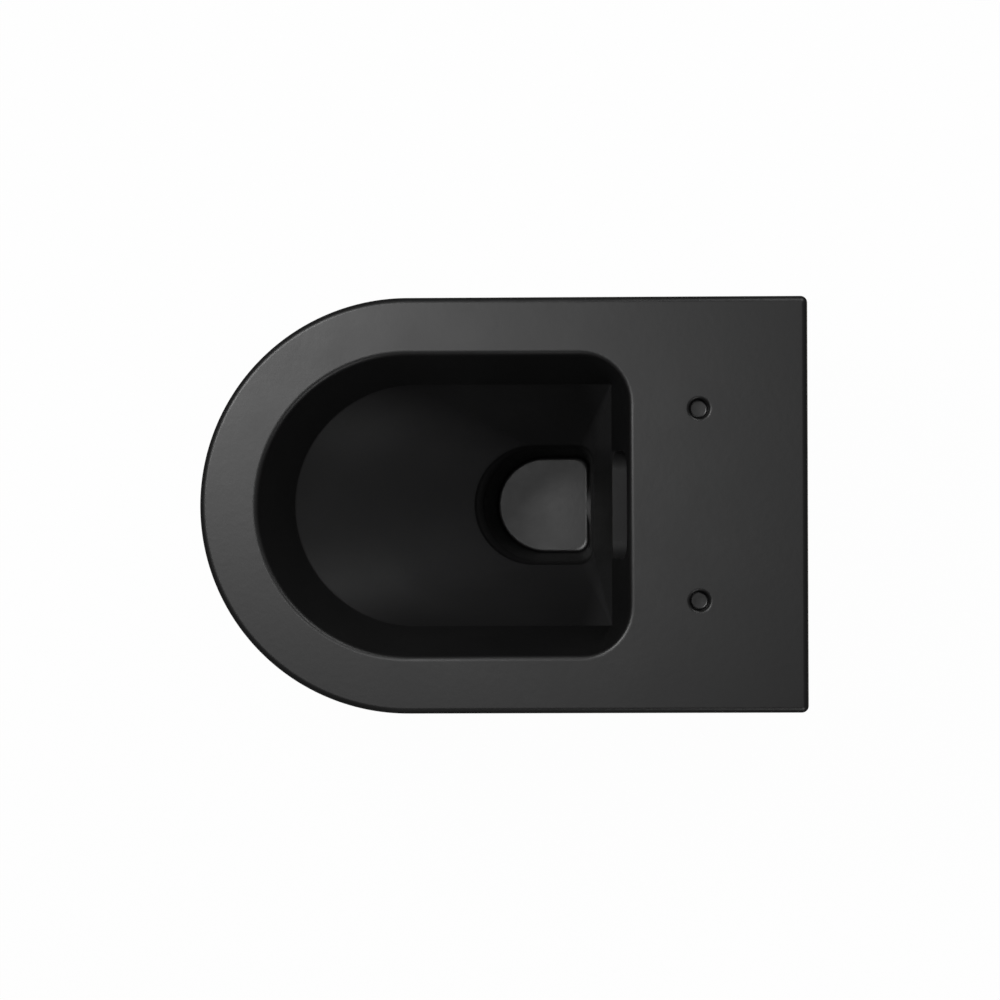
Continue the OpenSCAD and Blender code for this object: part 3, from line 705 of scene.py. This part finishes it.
def make_bracket(side):
    """A plate on the wall and an arm along the skirt, with a pocket and seats for stud and sleeve."""
    inner_x = STUD_X - BRACKET_PLATE_EDGE
    arm_length = SIDE_SCREW_FROM_WALL + BRACKET_ARM_END
    chamfer = BRACKET_ARM_END / 2
    plate = sided(side, box_outline(inner_x, SIDE_BOSS_X, -BRACKET_PLATE_T, 0))
    piece = prism("bracket", plate, BRACKET_PLATE_H, "z", (0, 0, -BRACKET_PLATE_H / 2))
    arm = sided(side, [
        (ARM_X - GUSSET, -BRACKET_PLATE_T / 2),
        (ARM_X, -BRACKET_PLATE_T - GUSSET),
        (ARM_X, chamfer - arm_length),
        (ARM_X + chamfer, -arm_length),
        (SIDE_BOSS_X, -arm_length),
        (SIDE_BOSS_X, -BRACKET_PLATE_T / 2),
    ])
    join(piece, prism("arm", arm, BRACKET_ARM_H, "z", (0, 0, -BRACKET_ARM_H / 2)))
    pocket = sided(side, box_outline(
        ARM_X + BRACKET_RIB_T, SIDE_BOSS_X - BRACKET_RIB_T,
        BRACKET_RIB_T + INSERT_D / 2 - SIDE_SCREW_FROM_WALL, -BRACKET_PLATE_T - BRACKET_RIB_T))
    cut(piece, prism("pocket", pocket, 2 * BRACKET_ARM_H, "z", (0, 0, -BRACKET_ARM_H)))
    hole = [(STUD_HOLE_D / 2, 0), (STUD_HOLE_D / 2, BRACKET_PLATE_T + 2 * PAST)]
    cut(piece, lathe("stud_hole", hole, "-y", (side * STUD_X, PAST, 0)))
    seat = [(INSERT_D / 2, 0), (INSERT_D / 2, INSERT_LENGTH + PAST)]
    at = at_side_screw(side, SIDE_BOSS_X - INSERT_LENGTH)
    return cut(piece, lathe("insert_seat", seat, side_axis(side), at))


def make_washer(side):
    outer, inner, edge = WASHER_D / 2, STUD_HOLE_D / 2, WASHER_EDGE_R
    profile = []
    for r, h, start in ((outer - edge, WASHER_T - edge, 90), (outer - edge, edge, 0),
                        (inner + edge, edge, -90), (inner + edge, WASHER_T - edge, 180)):
        profile += arc(r, h, edge, start, start - 90, 3)
    return lathe("washer", profile, "-y", (side * STUD_X, -BRACKET_PLATE_T, 0), ring=True)


def make_nut(side):
    """A hexagon with both ends chamfered and a bore with thread grooves."""
    corner = NUT_FLATS / 2 / math.cos(math.radians(30))
    end_r = NUT_FLATS / 2 - NUT_END_STEP
    at = (side * STUD_X, -BRACKET_PLATE_T - WASHER_T, 0)
    nut = prism("nut", hexagon(corner), NUT_H, "-y", at)
    barrel = [(end_r, 0), (corner, NUT_CHAMFER), (corner, NUT_H - NUT_CHAMFER), (end_r, NUT_H)]
    combine(nut, lathe("barrel", barrel, "-y", at), "INTERSECT")
    crest = NUT_BORE_D / 2
    root = crest + NUT_THREAD_DEPTH
    mouth = root + NUT_THREAD_DEPTH
    thread = [(mouth, -PAST), (mouth, 0)]
    for k in range(int(NUT_H / NUT_PITCH)):
        thread += [(r, (k + share) * NUT_PITCH) for r, share in ((crest, 0.3), (crest, 0.5), (root, 0.9))]
    thread += [(mouth, NUT_H), (mouth, NUT_H + PAST)]
    return cut(nut, lathe("thread", thread, "-y", at))


def make_insert(side):
    outer, inner, edge = INSERT_D / 2 - THREAD_GAP, SIDE_SCREW_D / 2 + THREAD_GAP, INSERT_CHAMFER
    profile = [(inner + edge, 0), (outer - edge, 0), (outer, edge), (outer, INSERT_LENGTH - edge)]
    profile += [(outer - edge, INSERT_LENGTH), (inner + edge, INSERT_LENGTH)]
    profile += [(inner, INSERT_LENGTH - edge), (inner, edge)]
    at = at_side_screw(side, SIDE_BOSS_X - INSERT_LENGTH)
    return lathe("insert", profile, side_axis(side), at, ring=True)


def make_bush(side):
    outer, inner = SIDE_HOLE_D / 2 - FIT_GAP, SIDE_SCREW_D / 2 + FIT_GAP
    flange, edge = CAP_RECESS_D / 2 - FIT_GAP, BUSH_EDGE_R
    length = SIDE_BOSS_DEPTH + BUSH_FLANGE_T
    profile = [(inner, 0), (outer - edge, 0), (outer, edge)]
    profile += [(outer, SIDE_BOSS_DEPTH), (flange, SIDE_BOSS_DEPTH)]
    profile += arc(flange - edge, length - edge, edge, 0, 90, 4) + [(inner, length)]
    return lathe("bush", profile, side_axis(side), at_side_screw(side, SIDE_BOSS_X), ring=True)


def make_screw(side):
    """A screw with a rounded head, a hexagon socket and a ringed thread."""
    r, head_r, edge = SIDE_SCREW_D / 2, SIDE_SCREW_HEAD_D / 2, SCREW_HEAD_EDGE_R
    root = r - SCREW_THREAD_DEPTH
    thread_length = INSERT_LENGTH - 2 * SCREW_RUN_OUT
    profile = [(TIP_R, 0), (r - SCREW_TIP_CHAMFER, 0)]
    for k in range(int(thread_length / SCREW_PITCH)):
        z = SCREW_RUN_OUT + k * SCREW_PITCH
        profile += [(root, z), (r, z + 0.45 * SCREW_PITCH), (r, z + 0.6 * SCREW_PITCH)]
    profile += [(root, thread_length + SCREW_RUN_OUT), (r, thread_length + 2 * SCREW_RUN_OUT)]
    profile += [(r, SIDE_SCREW_LENGTH), (head_r, SIDE_SCREW_LENGTH)]
    top = SIDE_SCREW_LENGTH + SIDE_SCREW_HEAD_H
    profile += arc(head_r - edge, top - edge, edge, 0, 90, 5) + [(TIP_R, top)]
    screw = lathe("screw", profile, side_axis(side), at_side_screw(side, FLANGE_X - SIDE_SCREW_LENGTH))
    at = at_side_screw(side, FLANGE_X + SIDE_SCREW_HEAD_H / 2)
    socket = prism("socket", hexagon(SIDE_SCREW_HEAD_D / 4), SIDE_SCREW_HEAD_H, side_axis(side), at)
    return cut(screw, socket)


def make_cap(side):
    """A cover cap with a crowned face and a rounded rim."""
    r, edge = CAP_RECESS_D / 2 - FIT_GAP, CAP_EDGE_R
    rim_top = CAP_T - CAP_CROWN
    profile = [(TIP_R, 0), (r - CAP_FOOT_CHAMFER, 0), (r, CAP_FOOT_CHAMFER)]
    profile += arc(r - edge, rim_top - edge, edge, 0, 80, 6)
    crown_steps = 8
    for k in range(1, crown_steps + 1):
        share = 1 - k / crown_steps
        profile.append(((r - edge) * share + TIP_R, rim_top + CAP_CROWN * (1 - share ** 2)))
    return lathe("cap", profile, side_axis(side), at_side_screw(side, FLANGE_X + SIDE_SCREW_HEAD_H))


def make_tube(name, outer, inner):
    """A bent tube, closed along its bore."""
    return loft(name, outer + list(reversed(inner)), ring=True)


def noise(tree, vector, scale, detail=4.0, roughness=0.55):
    node = tree.nodes.new("ShaderNodeTexNoise")
    node.inputs["Scale"].default_value = scale
    node.inputs["Detail"].default_value = detail
    node.inputs["Roughness"].default_value = roughness
    tree.links.new(vector, node.inputs["Vector"])
    return node.outputs["Fac"]


def ramp(tree, value, stops):
    """A colour ramp through (position, colour) stops."""
    node = tree.nodes.new("ShaderNodeValToRGB")
    elements = node.color_ramp.elements
    for _ in stops[2:]:
        elements.new(0.5)
    for element, (position, colour) in zip(elements, stops):
        element.position = position
        element.color = (*colour, 1)
    tree.links.new(value, node.inputs["Fac"])
    return node.outputs["Color"]


def remap(tree, value, low, high, to_low, to_high):
    node = tree.nodes.new("ShaderNodeMapRange")
    for socket, number in zip(("From Min", "From Max", "To Min", "To Max"), (low, high, to_low, to_high)):
        node.inputs[socket].default_value = number
    tree.links.new(value, node.inputs["Value"])
    return node.outputs["Result"]


def blend(tree, factor, a, b):
    """Colour a where the factor is 0 and colour b where it is 1."""
    node = tree.nodes.new("ShaderNodeMix")
    node.data_type = "RGBA"
    for value, index in ((factor, 0), (a, 6), (b, 7)):
        tree.links.new(value, node.inputs[index])
    return node.outputs[2]


def surface(name, colours, patch, roughness, relief, metallic=0.0, specular=0.5, stretch=(1, 1, 1)):
    """A material whose colour, roughness and relief vary with place.

    colours: darker and lighter colour; patch: scale of their patches; roughness: its two ends;
    relief: (scale, height in metres) of each layer of bumps; stretch: pulls the pattern along an axis.
    """
    material = bpy.data.materials.new(name)
    material.use_nodes = True
    tree = material.node_tree
    shader = tree.nodes["Principled BSDF"]
    shader.inputs["Metallic"].default_value = metallic
    shader.inputs["Specular IOR Level"].default_value = specular
    place_node = tree.nodes.new("ShaderNodeTexCoord")
    pull = tree.nodes.new("ShaderNodeMapping")
    pull.inputs["Scale"].default_value = stretch
    tree.links.new(place_node.outputs["Object"], pull.inputs["Vector"])
    vector = pull.outputs["Vector"]
    patches = noise(tree, vector, patch)
    colour = ramp(tree, patches, [(0.32, colours[0]), (0.68, colours[1])])
    tree.links.new(colour, shader.inputs["Base Color"])
    smudges = noise(tree, vector, patch * 3.1, 6, 0.6)
    tree.links.new(remap(tree, smudges, 0.3, 0.7, *roughness), shader.inputs["Roughness"])
    normal = None
    for scale, height in relief:
        bump = tree.nodes.new("ShaderNodeBump")
        bump.inputs["Distance"].default_value = height
        tree.links.new(noise(tree, vector, scale, 2), bump.inputs["Height"])
        if normal:
            tree.links.new(normal, bump.inputs["Normal"])
        normal = bump.outputs["Normal"]
    tree.links.new(normal, shader.inputs["Normal"])
    return material, tree, shader


def box_between(half_w, front, rear, low_z, high_z):
    """Two opposite corners of a box that reaches as far to the left as to the right."""
    return (-half_w, front, low_z), (half_w, rear, high_z)


# Where painted light lies on the funnel, and where the middle of the back wall is left without it
PAINTED_FUNNEL_LIGHT = (0.0200, 0.0200, 0.0205)
PAINTED_LIGHT_ABOVE_THROAT = 6
PAINTED_LIGHT_AT_CREASE = 0.2
PAINTED_LIGHT_REAR_START = -200
PAINTED_LIGHT_REAR_FULL = -176
FACES_UP = 0.02
UNPAINTED_HALF_W = 56
UNPAINTED_CORE_HALF_W = 28
UNPAINTED_FRONT = THROAT_REAR - 1.5
FUNNEL_REACH = (CREASE_HALF_W + PAST, CREASE_FRONT - PAST, CREASE_REAR + PAST)
FUNNEL_BOX = box_between(*FUNNEL_REACH, THROAT_Z + PAINTED_LIGHT_ABOVE_THROAT, CREASE_Z)
UNPAINTED_BOX = box_between(UNPAINTED_HALF_W, UNPAINTED_FRONT, CREASE_REAR + PAST, THROAT_Z, CREASE_Z)

# Changes in roughness: more on the sump's walls and in the flush outlet, less where glaze pooled on a floor
SUMP_WALL_CHANGE = 0.20
SUMP_FLOOR_CHANGE = -0.045
SEAT_FLOOR_CHANGE = -0.065
SLOT_CHANGE = 0.27
ROUGH_TOP = THROAT_Z + 4
POOL_TOP = SUMP_Z + 3.5
SEAT_FLOOR_Z = RIM_Z - SEAT_HOLE_DEPTH
SEAT_POOL_TOP = SEAT_FLOOR_Z + 1.5
SEAT_R = SEAT_HOLE_D / 2
SUMP_REACH = (THROAT_HALF_W + BOWL_WALL, THROAT_FRONT - BOWL_WALL, SUMP_BACK + PAST)
SEAT_REACH = (SEAT_HOLE_SPACING / 2 + SEAT_R, -SEAT_HOLE_FROM_WALL - SEAT_R, -SEAT_HOLE_FROM_WALL + SEAT_R)
SLOT_REACH = (SLOT_WIDTH / 2, CREASE_REAR - PAST, DUCT_FRONT)
ROUGHER = (
    (box_between(*SUMP_REACH, POOL_TOP, ROUGH_TOP), SUMP_WALL_CHANGE),
    (box_between(*SUMP_REACH, SUMP_Z - PAST, POOL_TOP), SUMP_FLOOR_CHANGE),
    (box_between(*SEAT_REACH, SEAT_FLOOR_Z - PAST, SEAT_POOL_TOP), SEAT_FLOOR_CHANGE),
    (box_between(*SLOT_REACH, CREASE_Z, SLOT_Z + SLOT_HEIGHT / 2), SLOT_CHANGE),
)


def inside_box(tree, place, low, high):
    """1 inside a box given in millimetres and 0 outside, from the X, Y and Z of a place."""
    share = None
    for axis, start, end in zip("XYZ", low, high):
        near = tree.nodes.new("ShaderNodeMath")
        near.operation = "COMPARE"
        near.inputs[1].default_value = (start + end) / 2 * MM
        near.inputs[2].default_value = (end - start) / 2 * MM
        tree.links.new(place.outputs[axis], near.inputs[0])
        within = near.outputs["Value"]
        share = combined(tree, "MULTIPLY", share, within) if share else within
    return share


def combined(tree, operation, first, second):
    node = tree.nodes.new("ShaderNodeMath")
    node.operation = operation
    tree.links.new(first, node.inputs[0])
    tree.links.new(second, node.inputs[1])
    return node.outputs["Value"]


def added(tree, colour, layer):
    node = tree.nodes.new("ShaderNodeVectorMath")
    tree.links.new(colour, node.inputs[0])
    tree.links.new(layer, node.inputs[1])
    return node.outputs["Vector"]


def painted_light_share(tree, place, geometry):
    """How strong the painted light is: only on faces that look up, and more toward the sump and the rear."""
    aside = tree.nodes.new("ShaderNodeMath")
    aside.operation = "ABSOLUTE"
    tree.links.new(place.outputs["X"], aside.inputs[0])
    unpainted = remap(tree, aside.outputs["Value"], UNPAINTED_CORE_HALF_W * MM, UNPAINTED_HALF_W * MM, 1, 0)
    unpainted = combined(tree, "MULTIPLY", unpainted, inside_box(tree, place, *UNPAINTED_BOX))
    share = combined(tree, "SUBTRACT", inside_box(tree, place, *FUNNEL_BOX), unpainted)
    facing = tree.nodes.new("ShaderNodeSeparateXYZ")
    tree.links.new(geometry.outputs["True Normal"], facing.inputs["Vector"])
    share = combined(tree, "MULTIPLY", share, remap(tree, facing.outputs["Z"], 0, FACES_UP, 0, 1))
    (_, _, low_z), (_, _, high_z) = FUNNEL_BOX
    depth = remap(tree, place.outputs["Z"], high_z * MM, low_z * MM, PAINTED_LIGHT_AT_CREASE, 1)
    rear = remap(tree, place.outputs["Y"], PAINTED_LIGHT_REAR_START * MM, PAINTED_LIGHT_REAR_FULL * MM, 0, 1)
    return combined(tree, "MULTIPLY", share, combined(tree, "MAXIMUM", depth, rear))


# The glaze, its thin skin over sharp edges, and the clay that shows where it is ground off at the wall
GLAZE_COLOURS = ((0.0042, 0.0042, 0.0044), (0.0058, 0.0057, 0.0058))
GLAZE_PATCH = 7
GLAZE_ROUGHNESS = (0.38, 0.44)
GLAZE_RELIEF = ((170, 0.00006), (1500, 0.000012))
GLAZE_SPECULAR = 0.6
SHARP_EDGES = (0.53, 0.62)
NOTHING = (0, 0, 0)
THIN_GLAZE = (0.008, 0.0075, 0.007)
CLAY_COLOURS = ((0.50, 0.46, 0.40), (0.62, 0.58, 0.52))
CLAY_PATCH = 60
CLAY_ROUGHER = 0.45
GROUND_START = -0.9
GROUND_FULL = -0.3


def make_glaze():
    """Satin black glaze, thinner over sharp edges, with painted light on the funnel and ground off at the
    wall.
    """
    material, tree, shader = surface(
        "satin_black_glaze", GLAZE_COLOURS, GLAZE_PATCH, GLAZE_ROUGHNESS, GLAZE_RELIEF,
        specular=GLAZE_SPECULAR)
    colour = shader.inputs["Base Color"].links[0].from_socket
    rough = shader.inputs["Roughness"].links[0].from_socket
    geometry = tree.nodes.new("ShaderNodeNewGeometry")
    where = tree.nodes.new("ShaderNodeTexCoord")
    place = tree.nodes.new("ShaderNodeSeparateXYZ")
    tree.links.new(where.outputs["Object"], place.inputs["Vector"])
    edges = remap(tree, geometry.outputs["Pointiness"], *SHARP_EDGES, 0, 1)
    colour = added(tree, colour, ramp(tree, edges, [(0, NOTHING), (1, THIN_GLAZE)]))
    # Painted light: a lighter tone is added on the funnel's upward faces. The middle of the back wall is left
    # without it.
    colour = added(tree, colour, ramp(tree, painted_light_share(tree, place, geometry), [(0, NOTHING), (1, PAINTED_FUNNEL_LIGHT)]))
    ground = remap(tree, place.outputs["Y"], GROUND_START * MM, GROUND_FULL * MM, 0, 1)
    clay_patches = noise(tree, where.outputs["Object"], CLAY_PATCH)
    clay = ramp(tree, clay_patches, [(0.35, CLAY_COLOURS[0]), (0.65, CLAY_COLOURS[1])])
    tree.links.new(blend(tree, ground, colour, clay), shader.inputs["Base Color"])
    for box, change in ROUGHER:
        rough = combined(tree, "ADD", rough, remap(tree, inside_box(tree, place, *box), 0, 1, 0, change))
    rough = combined(tree, "ADD", rough, remap(tree, ground, 0, 1, 0, CLAY_ROUGHER))
    tree.links.new(rough, shader.inputs["Roughness"])
    return material


# Colours, patch scale, roughness and relief of the moulded pieces
PLAIN_SURFACES = {
    "moulding": (((0.024, 0.024, 0.026), (0.036, 0.036, 0.038)), 40, (0.42, 0.58), ((900, 0.00004),)),
    "rubber": (((0.020, 0.020, 0.021), (0.035, 0.034, 0.033)), 70, (0.62, 0.82), ((700, 0.00005),)),
    "nylon": (((0.48, 0.49, 0.50), (0.60, 0.61, 0.62)), 30, (0.40, 0.55), ((600, 0.00005), (60, 0.00008))),
    "cap": (((0.0090, 0.0090, 0.0095), (0.0130, 0.0130, 0.0135)), 60, (0.30, 0.40), ((800, 0.00002),)),
}


def make_materials():
    materials = {"glaze": make_glaze()}
    for name, (colours, patch, roughness, relief) in PLAIN_SURFACES.items():
        materials[name] = surface(name, colours, patch, roughness, relief)[0]
    materials["steel"] = surface(
        "zinc_plated_steel", ((0.52, 0.53, 0.54), (0.68, 0.68, 0.66)), 90, (0.24, 0.42),
        ((500, 0.00003),), metallic=1.0, stretch=(1, 1, 2.5))[0]
    materials["brass"] = surface(
        "turned_brass", ((0.58, 0.40, 0.16), (0.72, 0.53, 0.25)), 80, (0.22, 0.38),
        ((900, 0.00002),), metallic=1.0, stretch=(6, 1, 1))[0]
    return materials


def hand_in(piece, material_slot, materials, nodes):
    piece.data.materials.clear()
    piece.data.materials.append(materials[material_slot])
    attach(piece, "root")
    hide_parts(*nodes)


def make_pan(materials):
    """Every piece in its material, each standing for its solids."""
    glazed = [
        (make_body(), ["rim_plate", "bowl", "shroud", "sump"]),
        (make_tube("trap_passage", trap_loops(TRAP_WALL), trap_loops(0)), ["trapway"]),
        (make_socket("waste_spigot", -OUTLET_DROP, OUTLET_D, OUTLET_BORE_D), ["outlet_spigot"]),
        (make_tube("flush_passage", duct_loops(DUCT_WALL, DUCT_OUTER_D), duct_loops(-SLOT_STEP, DUCT_BORE_D)),
         ["flush_duct"]),
        (make_socket("flush_socket", INLET_RISE, INLET_OUTER_D, INLET_BORE_D), ["inlet_socket"]),
        (make_web(), ["rear_web"]),
    ]
    for piece, nodes in glazed:
        hand_in(finish_mesh(piece), "glaze", materials, nodes)
    hand_in(finish_mesh(make_distributor(), 0.5), "moulding", materials, ["distributor"])
    hand_in(finish_mesh(make_gasket(), 0.4), "rubber", materials, ["distributor_gasket"])
    for side, word in ((-1, "left"), (1, "right")):
        fixings = [
            (make_bracket(side), 1.0, "nylon", "wall_bracket"),
            (make_washer(side), 0, "steel", "stud_washer"),
            (make_nut(side), 0, "steel", "stud_nut"),
            (make_insert(side), 0, "brass", "bracket_insert"),
            (make_bush(side), 0, "nylon", "side_bush"),
            (make_screw(side), 0, "steel", "side_screw"),
            (make_cap(side), 0, "cap", "cover_cap"),
        ]
        for piece, bevel, material_slot, node in fixings:
            piece.name = f"{node}_{word}_fine"
            hand_in(finish_mesh(piece, bevel), material_slot, materials, [f"{node}_{word}"])


# Light and background, in metres and watts
FLOOR_Z = -0.256
FLOOR_SIZE = 8
LAMPS = {
    "key_softbox": ((-0.42, -0.80, 1.25), 0.45, 9.6),
    "overhead": ((-0.05, -0.28, 2.10), 0.4, 3.0),
    "left_fill": ((-1.20, 0.45, 1.00), 0.7, 6.0),
    "right_fill": ((1.20, 0.45, 1.00), 0.7, 3.6),
}
AIM = (0, -0.26, 0)
SKY_ON_MATT = 0.12
FLOOR_GLOW = 0.98
FLOOR_COLOUR = (0.86, 0.86, 0.86, 1)
FLOOR_ROUGHNESS = 0.9
FLOOR_SHINE = 0.1
ROOM_HALF = 3
ROOM_TOP = 4
ROOM_ABOVE_FLOOR = 0.0005
ROOM_GLOW = 0.1
WHITE = (1, 1, 1, 1)
SQUARE = ((-1, -1), (1, -1), (1, 1), (-1, 1))


def make_world():
    """White wherever the camera or a shiny surface looks, and a softer light on matt surfaces."""
    world = bpy.data.worlds.new("studio")
    bpy.context.scene.world = world
    world.use_nodes = True
    tree = world.node_tree
    background = tree.nodes["Background"]
    background.inputs["Color"].default_value = WHITE
    tree.links.new(remap(tree, seen_directly(tree), 0, 1, SKY_ON_MATT, 1), background.inputs["Strength"])


def seen_directly(tree):
    """1 for camera, glossy and transmission rays."""
    path = tree.nodes.new("ShaderNodeLightPath")
    total = path.outputs["Is Camera Ray"]
    for name in ("Is Glossy Ray", "Is Transmission Ray"):
        larger = tree.nodes.new("ShaderNodeMath")
        larger.operation = "MAXIMUM"
        tree.links.new(total, larger.inputs[0])
        tree.links.new(path.outputs[name], larger.inputs[1])
        total = larger.outputs["Value"]
    return total


def studio_object(name, material_name, corners, faces):
    """A mesh with a material of its own, and the material's node tree."""
    mesh = bpy.data.meshes.new(name)
    mesh.from_pydata(corners, [], faces)
    material = bpy.data.materials.new(material_name)
    material.use_nodes = True
    mesh.materials.append(material)
    obj = bpy.data.objects.new(name, mesh)
    bpy.context.scene.collection.objects.link(obj)
    return obj, material.node_tree


def glow(tree, strength):
    node = tree.nodes.new("ShaderNodeEmission")
    node.inputs["Color"].default_value = WHITE
    node.inputs["Strength"].default_value = strength
    return node.outputs[0]


def make_floor():
    """A pale floor under the pan that reads as white and still takes its shadow."""
    half = FLOOR_SIZE / 2
    corners = [(x * half, AIM[1] + y * half, FLOOR_Z) for x, y in SQUARE]
    floor, tree = studio_object("floor", "floor_paper", corners, [(0, 1, 2, 3)])
    paper = tree.nodes["Principled BSDF"]
    paper.inputs["Base Color"].default_value = FLOOR_COLOUR
    paper.inputs["Roughness"].default_value = FLOOR_ROUGHNESS
    paper.inputs["Specular IOR Level"].default_value = FLOOR_SHINE
    either = tree.nodes.new("ShaderNodeMixShader")
    tree.links.new(remap(tree, seen_directly(tree), 0, 1, 0, FLOOR_GLOW), either.inputs[0])
    tree.links.new(paper.outputs[0], either.inputs[1])
    tree.links.new(glow(tree, 1), either.inputs[2])
    tree.links.new(either.outputs[0], tree.nodes["Material Output"].inputs["Surface"])


def make_room():
    """Dim studio walls that only the shine on the glaze shows."""
    levels = (FLOOR_Z + ROOM_ABOVE_FLOOR, ROOM_TOP)
    corners = [(x * ROOM_HALF, y * ROOM_HALF, z) for z in levels for x, y in SQUARE]
    sides = [(0, 1, 2, 3), (7, 6, 5, 4)] + [(i, i + 4, (i + 1) % 4 + 4, (i + 1) % 4) for i in range(4)]
    room, tree = studio_object("room", "dim_walls", corners, sides)
    tree.nodes.remove(tree.nodes["Principled BSDF"])
    tree.links.new(glow(tree, ROOM_GLOW), tree.nodes["Material Output"].inputs["Surface"])
    room.visible_camera = False
    room.visible_diffuse = False
    room.visible_shadow = False
    room.visible_transmission = False


def make_lamps():
    """Soft square lamps that look at the bowl and stay out of the picture."""
    for name, (place_at, size, power) in LAMPS.items():
        lamp = bpy.data.lights.new(name, "AREA")
        lamp.shape = "SQUARE"
        lamp.size = size
        lamp.energy = power
        obj = bpy.data.objects.new(name, lamp)
        obj.location = place_at
        obj.rotation_euler = (Vector(AIM) - obj.location).to_track_quat("-Z", "Y").to_euler()
        obj.visible_camera = False
        bpy.context.scene.collection.objects.link(obj)


# The camera looks straight down from above the rim, as in the photo
CAMERA_PLACE = (-0.0047, -0.26605, 3.085)
CAMERA_TURN = 89.77
FRAME_WIDTH = 0.8622
SENSOR = 36


def make_camera():
    data = bpy.data.cameras.new("camera")
    data.sensor_width = SENSOR
    data.lens = SENSOR * (CAMERA_PLACE[2] - RIM_Z * MM) / FRAME_WIDTH
    camera = bpy.data.objects.new("camera", data)
    camera.location = CAMERA_PLACE
    camera.rotation_euler = (0, 0, math.radians(CAMERA_TURN))
    bpy.context.scene.collection.objects.link(camera)
    bpy.context.scene.camera = camera


make_pan(make_materials())
make_world()
make_floor()
make_room()
make_lamps()
make_camera()
bpy.context.scene.view_settings.view_transform = "Standard"
